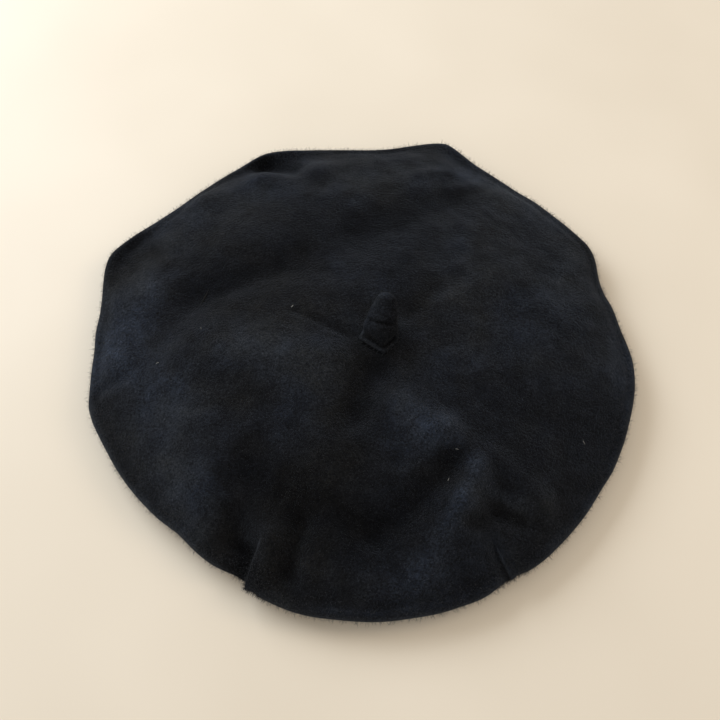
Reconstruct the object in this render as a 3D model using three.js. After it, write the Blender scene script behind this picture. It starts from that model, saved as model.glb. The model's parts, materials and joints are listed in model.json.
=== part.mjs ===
// A wool felt beret lying flat with its crown up.
// Millimetres, +Z up. The origin is the centre of the head opening, on the plane that the hat rests on.
// +Y is the back of the hat, where the label hangs, and +X is its right side.
//
// The crown and the turned-under underside are one seamless shell of felt. The stem goes through a hole
// in the crown and is sewn to it. A ribbon sweatband stands inside the head opening, with a flat elastic
// behind it that draws the opening in.

import * as THREE from 'three';

// ---------------------------------------------------------------- driving dimensions

const FELT = 2.0;                 // thickness of the fulled felt
const GAP = 0.35;                 // clearance kept between pieces that touch

const OUTLINE_R = 138;            // plan radius between the soft corners
const CORNERS = [                 // how the drawn-in edge bulges and dips: direction, reach, half width
  { at: 14, reach: -3.5, wide: 10 },
  { at: 28, reach: 5, wide: 9 },
  { at: 70, reach: 12, wide: 8 },
  { at: 94, reach: -3.5, wide: 14 },
  { at: 113, reach: 7, wide: 12 },
  { at: 157, reach: 14, wide: 12 },
  { at: 194, reach: 4, wide: 9 },
  { at: 229, reach: -7, wide: 18 },
  { at: 290, reach: 1.5, wide: 30 },
  { at: 350, reach: 3, wide: 12 },
];
const CROWN_Z = 29;               // top of the crown
const CROWN_FLAT = 2.4;           // how flat the top stays before the shoulder
const CROWN_FALL = 0.7;           // how fast the shoulder falls
const EDGE_Z = 9;                 // middle of the folded edge, lifted clear of the ground
const FOLD_R = 4;                 // outside radius of the fold
const FOLD_START = 50;            // degrees above level where the crown meets the fold
const OPENING_R = 88;             // cut edge of the head opening
const REST_R = 101;               // outer limit of the flat ring that the hat rests on

const STEM_X = 9;
const STEM_Y = -4.6;
const STEM_HOLE_R = 4.6;
const STEM_NECK_R = 4.2;
const STEM_TAIL_R = 8;
const STEM_TAIL = 1.6;            // thickness of the spread tail under the crown
const STEM_FOOT_R = 9.4;
const STEM_FOOT_EDGE = 0.9;       // height of its outer edge
const STEM_BALL_R = 6.6;          // the stem's round root
const STEM_SOCKET_R = 7.0;
const STEM_PIVOT = 7.0;           // height of the bend above the crown
const STEM_TIP_R = 4.9;
const STEM_LENGTH = 26.5;         // from the crown to the tip, along the stem
const STEM_LEAN = 35;             // degrees from upright
const STEM_TOWARD = 76;           // direction of the lean, degrees from +X
const STEM_STITCHES = 10;
const STEM_STITCH_OUT = { r: 10.9, z: 0.75 };   // where each stitch enters the crown
const STEM_STITCH_IN = { r: 7.7, z: 2.45 };     // where it lies on the foot

const RIBBON = 0.8;               // thickness of the ribbon
const RIBBON_R = 87.6;            // its outer face
const RIBBON_LOW = 0.5;
const RIBBON_HIGH = 19;
const RIBBON_LAP = 8;             // degrees that the lapped ends share
const RIBBON_STEP = 14;           // degrees over which the upper end steps inwards
const JOIN_AT = 118;              // direction of the lap
const ELASTIC = 0.9;
const ELASTIC_LOW = 3.2;
const ELASTIC_WIDTH = 8;

const THREAD_R = 0.28;
const THREAD_SIDES = 5;
const SEAM_LOW = 1.1;             // the seam zigzags between these two heights
const SEAM_HIGH = 3.1;
const SEAM_STITCHES = 60;
const TACK_HALF = 2;              // degrees to each side of the middle of the lap
const TACK_STITCHES = 9;

const LABEL_WIDTH = 24;
const LABEL_HANG = 13;
const LABEL_LAYER = 0.35;
const LABEL_FOLD = 1.0;           // thickness over both layers
const LABEL_Y = 85.05;
const LABEL_Z = 17.6;             // the sewn edge that it swings on
const LABEL_STITCHES = 8;
const LABEL_STITCH_Z = 18.5;

const SEGMENTS = 64;              // steps round the shell
const RIBBON_SEGMENTS = 92;

// ---------------------------------------------------------------- materials

const cloth = (color, roughness) => new THREE.MeshStandardMaterial({ color, roughness, metalness: 0 });
const felt = cloth(0x191c22, 0.95);
const grosgrain = cloth(0x101114, 0.7);
const elastic = cloth(0x1c1d20, 0.85);
const thread = cloth(0x15171b, 0.6);
const labelCloth = cloth(0xd9d4c7, 0.6);

// ---------------------------------------------------------------- helpers

const rad = THREE.MathUtils.degToRad;
const mix = THREE.MathUtils.lerp;
const smooth = (t) => THREE.MathUtils.smoothstep(t, 0, 1);
const polar = (r, degrees, z) => new THREE.Vector3(r * Math.cos(rad(degrees)), r * Math.sin(rad(degrees)), z);

/**
 * A closed body through rings of points. The rings either join up, last to first, or end in flat caps.
 * @param {THREE.Vector3[][]} rings
 * @param {boolean} joined
 */
function loft(rings, joined) {
  const count = rings[0].length;
  const positions = rings.flat().flatMap((p) => [p.x, p.y, p.z]);
  const faces = [];
  const spans = joined ? rings.length : rings.length - 1;
  for (let k = 0; k < spans; k++) {
    const here = k * count;
    const next = ((k + 1) % rings.length) * count;
    for (let i = 0; i < count; i++) {
      const j = (i + 1) % count;
      faces.push(here + i, next + i, next + j, here + i, next + j, here + j);
    }
  }
  if (!joined) {
    const last = (rings.length - 1) * count;
    for (let i = 1; i < count - 1; i++) {
      faces.push(0, i, i + 1, last, last + i + 1, last + i);
    }
  }
  const geometry = new THREE.BufferGeometry();
  geometry.setAttribute('position', new THREE.Float32BufferAttribute(positions, 3));
  geometry.setIndex(faces);
  geometry.computeVertexNormals();
  return geometry;
}

/**
 * One continuous thread through a row of points.
 * @param {THREE.Vector3[]} points
 * @param {boolean} joined  the thread's end meets its start
 * @param {(p: THREE.Vector3) => THREE.Vector3} normal  a direction square to the thread at a point
 */
function threadThrough(points, joined, normal) {
  const last = points.length - 1;
  const rings = points.map((p, k) => {
    const before = points[k === 0 ? (joined ? last : 0) : k - 1];
    const after = points[k === last ? (joined ? 0 : last) : k + 1];
    const along = after.clone().sub(before).normalize();
    const across = new THREE.Vector3().crossVectors(normal(p), along).normalize();
    const up = new THREE.Vector3().crossVectors(across, along);
    return Array.from({ length: THREAD_SIDES }, (_, i) => {
      const turn = (2 * Math.PI * i) / THREAD_SIDES;
      return p.clone()
        .addScaledVector(across, THREAD_R * Math.cos(turn))
        .addScaledVector(up, THREAD_R * Math.sin(turn));
    });
  });
  return loft(rings, joined);
}

const fromAxis = (p) => new THREE.Vector3(p.x, p.y, 0).normalize();

function piece(name, geometry, material) {
  const mesh = new THREE.Mesh(geometry, material);
  mesh.name = name;
  return mesh;
}

// ---------------------------------------------------------------- felt shell

/** Plan radius of the folded edge in a direction, in degrees. */
function outlineRadius(direction) {
  let radius = OUTLINE_R;
  for (const { at, reach, wide } of CORNERS) {
    const away = Math.abs(THREE.MathUtils.euclideanModulo(direction - at + 180, 360) - 180);
    radius += reach * Math.exp(-((away / wide) ** 1.5));
  }
  return radius;
}

/** The outer face cut by a half plane: points [r, z] from the stem's hole over the crown to the opening. */
function outerProfile(edgeR) {
  const fold = rad(FOLD_START);
  const crownEndR = edgeR - FOLD_R + FOLD_R * Math.cos(fold);
  const crownEndZ = EDGE_Z + FOLD_R * Math.sin(fold);
  const profile = [];
  for (const u of [0, 0.1, 0.22, 0.36, 0.5, 0.63, 0.74, 0.83, 0.9, 0.955]) {
    const r = mix(STEM_HOLE_R, crownEndR, u);
    const z = crownEndZ + (CROWN_Z - crownEndZ) * (1 - (r / crownEndR) ** CROWN_FLAT) ** CROWN_FALL;
    profile.push([r, z]);
  }
  profile[0][1] = CROWN_Z;
  for (const angle of [FOLD_START, 15, -20, -55, -90]) {
    profile.push([edgeR - FOLD_R + FOLD_R * Math.cos(rad(angle)), EDGE_Z + FOLD_R * Math.sin(rad(angle))]);
  }
  for (const v of [0.7, 0.4, 0.15]) {
    profile.push([mix(REST_R, edgeR - FOLD_R, v), (EDGE_Z - FOLD_R) * v ** 1.5]);
  }
  profile.push([REST_R, 0], [OPENING_R, 0]);
  return profile;
}

/** The same face moved inwards by the felt's thickness. */
function innerProfile(outer) {
  return outer.map(([r, z], k) => {
    if (k === 0 || k === outer.length - 1) {
      return [r, z + (k === 0 ? -FELT : FELT)];
    }
    const [r0, z0] = outer[k - 1];
    const [r1, z1] = outer[k + 1];
    const along = Math.hypot(r1 - r0, z1 - z0);
    return [r + (FELT * (z1 - z0)) / along, z - (FELT * (r1 - r0)) / along];
  });
}

function shellGeometry() {
  const edges = Array.from({ length: SEGMENTS }, (_, i) => outlineRadius((360 / SEGMENTS) * i));
  const profiles = edges.map((edgeR) => {
    const outer = outerProfile(edgeR);
    return { outer, inner: innerProfile(outer) };
  });
  const stations = profiles[0].outer.length;
  const crownStations = 10;
  const place = (side, k) => edges.map((edgeR, i) => {
    const [r, z] = profiles[i][side][k];
    const onCrown = k < crownStations ? 1 - smooth(r / edgeR) : 0;
    const point = polar(k === 0 ? STEM_HOLE_R : r, (360 / SEGMENTS) * i, z);
    return point.add(new THREE.Vector3(STEM_X * onCrown, STEM_Y * onCrown, 0));
  });
  const rings = [];
  for (let k = 0; k < stations; k++) rings.push(place('outer', k));
  for (let k = stations - 1; k >= 0; k--) rings.push(place('inner', k));
  return loft(rings, true);
}

// ---------------------------------------------------------------- stem

/** The sewn foot: a flared collar, a neck through the crown and a tail spread under it. */
function stemFootGeometry() {
  const under = -FELT - GAP;
  const profile = [
    [0, under - STEM_TAIL],
    [STEM_TAIL_R, under - STEM_TAIL],
    [STEM_TAIL_R, under],
    [STEM_NECK_R, under],
    [STEM_NECK_R, GAP],
    [STEM_FOOT_R, GAP],
    [STEM_FOOT_R - 0.3, STEM_FOOT_EDGE],
    [7.4, 1.6],
    [5.8, 2.3],
  ];
  for (const angle of [-45, -60, -75, -90]) {
    const r = STEM_SOCKET_R * Math.cos(rad(angle));
    profile.push([angle === -90 ? 0 : r, STEM_PIVOT + STEM_SOCKET_R * Math.sin(rad(angle))]);
  }
  return latheUpright(profile, 28);
}

/** The free finger, from its round root at the pivot to its tip. */
function stemFingerGeometry() {
  const tipCentre = STEM_LENGTH - STEM_PIVOT - STEM_TIP_R;
  const profile = [];
  for (const angle of [-90, -68, -45, -22, 0]) {
    profile.push([angle === -90 ? 0 : STEM_BALL_R * Math.cos(rad(angle)), STEM_BALL_R * Math.sin(rad(angle))]);
  }
  profile.push([mix(STEM_BALL_R, STEM_TIP_R, 0.7), tipCentre / 2]);
  for (const angle of [0, 25, 50, 70, 90]) {
    const r = angle === 90 ? 0 : STEM_TIP_R * Math.cos(rad(angle));
    profile.push([r, tipCentre + STEM_TIP_R * Math.sin(rad(angle))]);
  }
  return latheUpright(profile, 24);
}

/** Turns points [r, z], which start and end on the axis, round +Z. */
function latheUpright(profile, segments) {
  const lathe = new THREE.LatheGeometry(profile.map(([r, z]) => new THREE.Vector2(r, z)), segments);
  return lathe.rotateX(Math.PI / 2);
}

/** One thread that goes round the foot, up on to it and down to the crown with each stitch. */
function stemStitchesGeometry() {
  const stepsPerStitch = 6;
  const points = [];
  for (let k = 0; k < STEM_STITCHES * stepsPerStitch; k++) {
    const inward = 0.5 + 0.5 * Math.cos((2 * Math.PI * k) / stepsPerStitch);
    const direction = (360 * k) / (STEM_STITCHES * stepsPerStitch);
    const r = mix(STEM_STITCH_OUT.r, STEM_STITCH_IN.r, inward);
    const z = mix(STEM_STITCH_OUT.z, STEM_STITCH_IN.z, inward ** 0.7);
    points.push(polar(r, direction, z));
  }
  return threadThrough(points, true, () => new THREE.Vector3(0, 0, 1));
}

function stemPieces() {
  const place = new THREE.Group();
  place.position.set(STEM_X, STEM_Y, CROWN_Z);
  const bend = new THREE.Group();
  bend.position.z = STEM_PIVOT;
  const across = new THREE.Vector3(-Math.sin(rad(STEM_TOWARD)), Math.cos(rad(STEM_TOWARD)), 0);
  bend.quaternion.setFromAxisAngle(across, rad(STEM_LEAN));
  bend.add(piece('stem', stemFingerGeometry(), felt));
  place.add(
    piece('stem_foot', stemFootGeometry(), felt),
    piece('stem_stitches', stemStitchesGeometry(), thread),
    bend,
  );
  return place;
}

// ---------------------------------------------------------------- sweatband

/** Outer radius of the ribbon, which steps inwards near its upper end so that the end lies on the start. */
function ribbonRadius(travelled) {
  const lapStart = 360 - RIBBON_STEP;
  const inwards = (RIBBON + GAP) * smooth((travelled - lapStart) / RIBBON_STEP);
  return RIBBON_R - inwards;
}

function ribbonGeometry() {
  const rings = [];
  for (let k = 0; k <= RIBBON_SEGMENTS; k++) {
    const travelled = ((360 + RIBBON_LAP) / RIBBON_SEGMENTS) * k;
    const direction = JOIN_AT - RIBBON_LAP / 2 + travelled;
    const r = ribbonRadius(travelled);
    rings.push([
      polar(r, direction, RIBBON_LOW),
      polar(r, direction, RIBBON_HIGH),
      polar(r - RIBBON, direction, RIBBON_HIGH),
      polar(r - RIBBON, direction, RIBBON_LOW),
    ]);
  }
  return loft(rings, false);
}

function elasticGeometry() {
  const inner = RIBBON_R + GAP;
  const top = ELASTIC_LOW + ELASTIC_WIDTH;
  const rings = [];
  for (let k = 0; k < SEGMENTS; k++) {
    const direction = (360 / SEGMENTS) * k;
    rings.push([
      polar(inner + ELASTIC, direction, ELASTIC_LOW),
      polar(inner + ELASTIC, direction, top),
      polar(inner, direction, top),
      polar(inner, direction, ELASTIC_LOW),
    ]);
  }
  return loft(rings, true);
}

/** The zigzag thread on the ribbon's lower edge. It follows the ribbon's inner face over the lap. */
function bandSeamGeometry() {
  const points = [];
  for (let k = 0; k < SEAM_STITCHES * 2; k++) {
    const direction = JOIN_AT + (180 * k) / SEAM_STITCHES;
    const fromLap = direction - JOIN_AT;
    const leaving = 1 - smooth((fromLap - RIBBON_LAP / 2) / 5);
    const arriving = smooth((fromLap - 360 + RIBBON_LAP / 2 + RIBBON_STEP + 5) / RIBBON_STEP);
    const overLap = (RIBBON + GAP) * Math.max(leaving, arriving);
    const r = RIBBON_R - RIBBON - GAP - THREAD_R - overLap;
    points.push(polar(r, direction, k % 2 === 0 ? SEAM_LOW : SEAM_HIGH));
  }
  return threadThrough(points, true, fromAxis);
}

/** A thread that zigzags up through the lapped ends. */
function joinStitchesGeometry() {
  const r = RIBBON_R - 2 * RIBBON - 2 * GAP - THREAD_R - GAP;
  const low = SEAM_HIGH + 1;
  const points = [];
  for (let k = 0; k <= TACK_STITCHES; k++) {
    const side = k % 2 === 0 ? -TACK_HALF : TACK_HALF;
    points.push(polar(r, JOIN_AT + side, mix(low, RIBBON_HIGH - 1, k / TACK_STITCHES)));
  }
  return threadThrough(points, false, fromAxis);
}

function bandPieces() {
  return [
    piece('sweatband', ribbonGeometry(), grosgrain),
    piece('band_elastic', elasticGeometry(), elastic),
    piece('band_seam', bandSeamGeometry(), thread),
    piece('band_join_stitches', joinStitchesGeometry(), thread),
  ];
}

// ---------------------------------------------------------------- label

/** A folded strip that hangs from its sewn edge: two layers that join in a round fold at the bottom. */
function labelGeometry() {
  const outside = LABEL_FOLD / 2;
  const inside = outside - LABEL_LAYER;
  const foldAt = -LABEL_HANG + outside;
  const outline = new THREE.Shape();
  outline.moveTo(outside, 0);
  outline.lineTo(inside, 0);
  outline.lineTo(inside, foldAt);
  outline.absarc(0, foldAt, inside, 0, -Math.PI, true);
  outline.lineTo(-inside, 0);
  outline.lineTo(-outside, 0);
  outline.lineTo(-outside, foldAt);
  outline.absarc(0, foldAt, outside, -Math.PI, 0, false);
  outline.closePath();
  const strip = new THREE.ExtrudeGeometry(outline, { depth: LABEL_WIDTH, bevelEnabled: false, curveSegments: 6 });
  strip.translate(0, 0, -LABEL_WIDTH / 2);
  return strip.applyMatrix4(new THREE.Matrix4().makeBasis(
    new THREE.Vector3(0, 1, 0),
    new THREE.Vector3(0, 0, 1),
    new THREE.Vector3(1, 0, 0),
  ));
}

/** A thread that zigzags over the label's top edge, from the ribbon's side to the label's front. */
function labelStitchesGeometry() {
  const points = [];
  for (let k = 0; k <= LABEL_STITCHES * 2; k++) {
    const x = (LABEL_WIDTH - 2) * (k / (LABEL_STITCHES * 2) - 0.5);
    const aside = k % 2 === 0 ? LABEL_FOLD / 2 : -LABEL_FOLD / 2;
    points.push(new THREE.Vector3(x, LABEL_Y + aside, LABEL_STITCH_Z));
  }
  return threadThrough(points, false, () => new THREE.Vector3(0, 0, 1));
}

function labelPieces() {
  const label = piece('size_label', labelGeometry(), labelCloth);
  label.position.set(0, LABEL_Y, LABEL_Z);
  return [label, piece('label_stitches', labelStitchesGeometry(), thread)];
}

// ---------------------------------------------------------------- the whole hat

const beret = new THREE.Group();
beret.add(piece('felt_shell', shellGeometry(), felt));
beret.add(stemPieces());
beret.add(...bandPieces());
beret.add(...labelPieces());

export default beret;
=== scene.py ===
"""A black wool felt beret with a bendable stem, lying flat on a pale table.

Lengths below are millimetres in the part's own frame: the head opening's centre is the origin, +Z is up
and +Y is the back of the hat. MM turns them into Blender's metres. Only the lights are placed in metres.
Directions are degrees round +Z, from +X.
"""

import json
import math

import bpy
import numpy as np
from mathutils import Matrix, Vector


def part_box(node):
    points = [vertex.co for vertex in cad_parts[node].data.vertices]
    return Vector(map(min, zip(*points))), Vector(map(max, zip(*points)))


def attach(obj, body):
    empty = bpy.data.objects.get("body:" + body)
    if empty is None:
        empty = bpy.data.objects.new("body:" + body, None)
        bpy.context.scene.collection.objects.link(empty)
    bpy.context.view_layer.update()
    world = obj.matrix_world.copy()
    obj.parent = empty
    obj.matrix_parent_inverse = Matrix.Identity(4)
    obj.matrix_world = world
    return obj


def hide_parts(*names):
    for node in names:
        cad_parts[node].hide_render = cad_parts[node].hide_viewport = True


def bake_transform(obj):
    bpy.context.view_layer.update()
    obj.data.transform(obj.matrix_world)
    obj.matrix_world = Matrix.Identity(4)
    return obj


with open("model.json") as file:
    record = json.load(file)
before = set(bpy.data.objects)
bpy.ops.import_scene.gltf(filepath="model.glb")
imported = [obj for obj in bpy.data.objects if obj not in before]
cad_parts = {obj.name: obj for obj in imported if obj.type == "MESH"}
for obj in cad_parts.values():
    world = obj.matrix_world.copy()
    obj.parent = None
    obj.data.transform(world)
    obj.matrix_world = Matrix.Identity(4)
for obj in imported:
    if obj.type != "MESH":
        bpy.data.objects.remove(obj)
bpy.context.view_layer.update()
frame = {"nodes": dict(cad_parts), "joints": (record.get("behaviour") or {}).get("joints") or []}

MM = 0.001
SEED = 7


# -------------------- sizes shared with the CAD frame

def node_box_mm(node):
    """Lowest and highest corner of a CAD node, in millimetres."""
    low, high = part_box(node)
    return np.array(low) / MM, np.array(high) / MM


SHELL_HIGH = node_box_mm("felt_shell")[1]
BAND_LOW, BAND_HIGH = node_box_mm("sweatband")
LABEL_LOW, LABEL_HIGH = node_box_mm("size_label")
STEM_JOINT = next(j for j in frame["joints"] if j["name"] == "stem_bend")
PIVOT = np.array(STEM_JOINT["pos_m"]) / MM

CROWN_Z = SHELL_HIGH[2]
STEM_X, STEM_Y = PIVOT[0], PIVOT[1]
FELT = 2.0                      # thickness of the felt
EDGE_Z = 9.0                    # height of the middle of the folded edge
FOLD_R = 4.0                    # radius of the fold
OPENING_R = 88.0                # the felt's cut edge round the head opening
REST_R = 101.0                  # the felt lies on the table from the cut edge out to here
BAND_R = 87.6                   # the ribbon's outer face


# -------------------- small helpers

def smooth(t):
    t = np.clip(t, 0.0, 1.0)
    return t * t * (3 - 2 * t)


def mix(a, b, t):
    return a + (b - a) * t


def bell(distance, width, power=2.0):
    """1 at a distance of 0, falling to about a third at width."""
    return np.exp(-np.abs(distance / width) ** power)


def turned(direction, at):
    """Signed degrees from at to direction, from -180 to 180."""
    return (direction - at + 180) % 360 - 180


def smooth_noise(x, y, size, seed):
    """Soft noise of about -1 to 1 with lumps of the given size: random heights on a square lattice."""
    cells = 256
    heights = np.random.default_rng(seed).uniform(-1, 1, (cells, cells))
    # the lattice is turned, so that its lines don't follow the axes
    u = (0.8 * x + 0.6 * y) / (0.5 * size)
    v = (0.8 * y - 0.6 * x) / (0.5 * size)
    i, j = np.floor(u).astype(int), np.floor(v).astype(int)
    across, along = smooth(u - i), smooth(v - j)
    near = mix(heights[i % cells, j % cells], heights[(i + 1) % cells, j % cells], across)
    far = mix(heights[i % cells, (j + 1) % cells], heights[(i + 1) % cells, (j + 1) % cells], across)
    # the mixing flattens the heights, so they are raised again
    return 1.6 * mix(near, far, along)


def smooth_noises(x, y, layers):
    """The sum of layers of soft noise: amount, size and seed."""
    return sum(amount * smooth_noise(x, y, size, seed) for amount, size, seed in layers)


def new_mesh(name, points_mm, faces, material, smooth_shading=True):
    """A mesh object from points in millimetres."""
    mesh = bpy.data.meshes.new(name)
    mesh.from_pydata((np.asarray(points_mm) * MM).tolist(), [], faces)
    mesh.materials.append(material)
    mesh.polygons.foreach_set("use_smooth", [smooth_shading] * len(mesh.polygons))
    mesh.update()
    piece = bpy.data.objects.new(name, mesh)
    bpy.context.scene.collection.objects.link(piece)
    return piece


def grid_faces(rows, columns, rows_join=False):
    """Quads of a grid of points whose columns close on themselves. The rows may close too."""
    k, i = np.meshgrid(np.arange(rows if rows_join else rows - 1), np.arange(columns), indexing="ij")
    here = k * columns
    after = ((k + 1) % rows) * columns
    j = (i + 1) % columns
    return np.stack([here + i, after + i, after + j, here + j], axis=-1).reshape(-1, 4).tolist()


def tube_points(path, radii, sides, twist):
    """Rings of points round a path. Each is turned by twist, in radians, from the ring before it."""
    path = np.asarray(path, float)
    radii = np.broadcast_to(radii, len(path))
    tangents = np.gradient(path, axis=0)
    tangents /= np.linalg.norm(tangents, axis=1)[:, None]
    start = np.cross(tangents[0], [0.0, 0.0, 1.0])
    if np.linalg.norm(start) < 1e-3:
        start = np.cross(tangents[0], [1.0, 0.0, 0.0])
    side = start / np.linalg.norm(start)
    rings = []
    for k, (centre, tangent) in enumerate(zip(path, tangents)):
        side = side - tangent * side.dot(tangent)
        side /= np.linalg.norm(side)
        up = np.cross(tangent, side)
        turn = 2 * math.pi * np.arange(sides) / sides + twist * k
        rings.append(centre + radii[k] * (np.cos(turn)[:, None] * side + np.sin(turn)[:, None] * up))
    return np.array(rings)


# -------------------- materials

def shader(name, roughness):
    material = bpy.data.materials.new(name)
    material.use_nodes = True
    nodes = material.node_tree.nodes
    nodes.clear()
    output = nodes.new("ShaderNodeOutputMaterial")
    principled = nodes.new("ShaderNodeBsdfPrincipled")
    principled.inputs["Roughness"].default_value = roughness
    principled.inputs["Specular IOR Level"].default_value = 0.25
    material.node_tree.links.new(principled.outputs["BSDF"], output.inputs["Surface"])
    return material, material.node_tree, principled


def coordinates(tree, stretch=(1, 1, 1)):
    """The piece's own coordinates, in metres, stretched along its axes."""
    source = tree.nodes.new("ShaderNodeTexCoord")
    mapping = tree.nodes.new("ShaderNodeMapping")
    mapping.inputs["Scale"].default_value = stretch
    tree.links.new(source.outputs["Object"], mapping.inputs["Vector"])
    return mapping.outputs["Vector"]


def noise(tree, vector, size_mm, detail, rough=0.6, distortion=0.0):
    node = tree.nodes.new("ShaderNodeTexNoise")
    node.inputs["Scale"].default_value = 1 / (size_mm * MM)
    node.inputs["Detail"].default_value = detail
    node.inputs["Roughness"].default_value = rough
    node.inputs["Distortion"].default_value = distortion
    tree.links.new(vector, node.inputs["Vector"])
    return node.outputs["Fac"]


def ramp(tree, fac, stops):
    node = tree.nodes.new("ShaderNodeValToRGB")
    elements = node.color_ramp.elements
    while len(elements) < len(stops):
        elements.new(0.5)
    for element, (position, colour) in zip(elements, stops):
        element.position = position
        element.color = (*colour, 1.0)
    tree.links.new(fac, node.inputs["Fac"])
    return node.outputs["Color"]


def mixed(tree, fac, a, b, blend_type="MIX"):
    node = tree.nodes.new("ShaderNodeMix")
    node.data_type = "RGBA"
    node.blend_type = blend_type
    for value, socket in ((fac, node.inputs["Factor"]), (a, node.inputs["A"]), (b, node.inputs["B"])):
        # the colour sockets share their names with the number ones, so they are found by type
        if socket.name in "AB":
            socket = next(s for s in node.inputs if s.name == socket.name and s.type == "RGBA")
        if isinstance(value, bpy.types.NodeSocket):
            tree.links.new(value, socket)
        elif socket.type == "RGBA":
            socket.default_value = (*value, 1.0)
        else:
            socket.default_value = value
    return next(s for s in node.outputs if s.type == "RGBA")


def maths(tree, operation, a, b):
    node = tree.nodes.new("ShaderNodeMath")
    node.operation = operation
    for value, socket in zip((a, b), node.inputs):
        if isinstance(value, bpy.types.NodeSocket):
            tree.links.new(value, socket)
        else:
            socket.default_value = value
    return node.outputs["Value"]


def bump(tree, principled, layers):
    """Stacks bumps: layers are (height socket, depth in millimetres, strength)."""
    before = None
    for height, depth, strength in layers:
        node = tree.nodes.new("ShaderNodeBump")
        node.inputs["Distance"].default_value = depth * MM
        node.inputs["Strength"].default_value = strength
        tree.links.new(height, node.inputs["Height"])
        if before is not None:
            tree.links.new(before, node.inputs["Normal"])
        before = node.outputs["Normal"]
    tree.links.new(before, principled.inputs["Normal"])


PATCH_SIZE = 46                 # brown black and navy areas
CLOUD_SIZE = 9                  # drifts of nap
MAT_SIZE = 3.2
TUFT_SIZE = 1.15
STRAND_SIZE = 0.7
TUFT_DEPTH = 1.2
STRAND_DEPTH = 0.35
NAVY_BLACK = (0.0096, 0.0113, 0.0156)
BROWN_BLACK = (0.0108, 0.0108, 0.0108)
DEEP_BLACK = (0.0036, 0.0038, 0.0044)
PALE_NAP = (0.0285, 0.0310, 0.0370)
SHEEN_TINT = (0.72, 0.82, 1.0, 1.0)
BLACK, WHITE = (0, 0, 0), (1, 1, 1)
PAINTED_LIGHT_MULTIPLIERS = [                  # what each tone multiplies the colour by: painted shade below 0.5, painted light above it, the lit end tinted blue like the window light
    (0.0, (0.50, 0.49, 0.48)),
    (0.5, (1.0, 1.0, 1.0)),
    (1.0, (2.60, 2.85, 3.15)),
]


def felt_material(name, sheen):
    """Brushed wool felt: brown black and navy in patches, clouds of nap, matted tufts and single fibres.

    Its pieces carry a point attribute of painted light and shade, with some random mottle, that multiplies
    the colour last.
    """
    material, tree, principled = shader(name, 0.95)
    principled.inputs["Specular IOR Level"].default_value = 0.04
    plain = coordinates(tree)
    patches = noise(tree, plain, PATCH_SIZE, 3, 0.55)
    colour = ramp(tree, patches, [(0.40, BROWN_BLACK), (0.60, NAVY_BLACK)])
    clouds = noise(tree, plain, CLOUD_SIZE, 4, 0.6, 0.4)
    cloud_shade = ramp(tree, clouds, [(0.34, (0.72, 0.72, 0.73)), (0.68, (1.24, 1.24, 1.22))])
    colour = mixed(tree, 1.0, colour, cloud_shade, "MULTIPLY")
    mats = noise(tree, plain, MAT_SIZE, 3, 0.6, 0.6)
    mat_shade = ramp(tree, mats, [(0.36, (0.80, 0.80, 0.80)), (0.64, (1.20, 1.20, 1.20))])
    colour = mixed(tree, 1.0, colour, mat_shade, "MULTIPLY")
    tufts = noise(tree, plain, TUFT_SIZE, 4, 0.7, 0.5)
    colour = mixed(tree, ramp(tree, tufts, [(0.37, WHITE), (0.61, BLACK)]), colour, DEEP_BLACK)
    strands = noise(tree, plain, STRAND_SIZE, 3, 0.65, 0.8)
    colour = mixed(tree, ramp(tree, strands, [(0.57, BLACK), (0.76, WHITE)]), colour, PALE_NAP)
    # painted light and shade, with a little random mottle, multiply the colour last
    tone = tree.nodes.new("ShaderNodeAttribute")
    tone.attribute_name = "painted_light_and_mottle"
    colour = mixed(tree, 1.0, colour, ramp(tree, tone.outputs["Fac"], PAINTED_LIGHT_MULTIPLIERS), "MULTIPLY")
    tree.links.new(colour, principled.inputs["Base Color"])
    principled.inputs["Sheen Weight"].default_value = sheen
    principled.inputs["Sheen Roughness"].default_value = 0.36
    principled.inputs["Sheen Tint"].default_value = SHEEN_TINT
    bump(tree, principled, [(tufts, TUFT_DEPTH, 0.8), (strands, STRAND_DEPTH, 0.8)])
    return material


def fibre_material(name, colour, roughness=0.8):
    material, tree, principled = shader(name, roughness)
    shade = ramp(tree, noise(tree, coordinates(tree), 6, 2), [
        (0.35, tuple(0.6 * c for c in colour)),
        (0.65, colour),
    ])
    tree.links.new(shade, principled.inputs["Base Color"])
    principled.inputs["Specular IOR Level"].default_value = 0.08
    principled.inputs["Sheen Weight"].default_value = 0.1
    principled.inputs["Sheen Roughness"].default_value = 0.5
    return material


FELT_LOOK = felt_material("wool_felt", 0.14)
STEM_LOOK = felt_material("stem_wool_felt", 0.03)
FUZZ_LOOK = fibre_material("wool_fibres", (0.017, 0.019, 0.024))
LINT_LOOK = fibre_material("pale_lint", (0.42, 0.42, 0.40))


# -------------------- the felt's form

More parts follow.
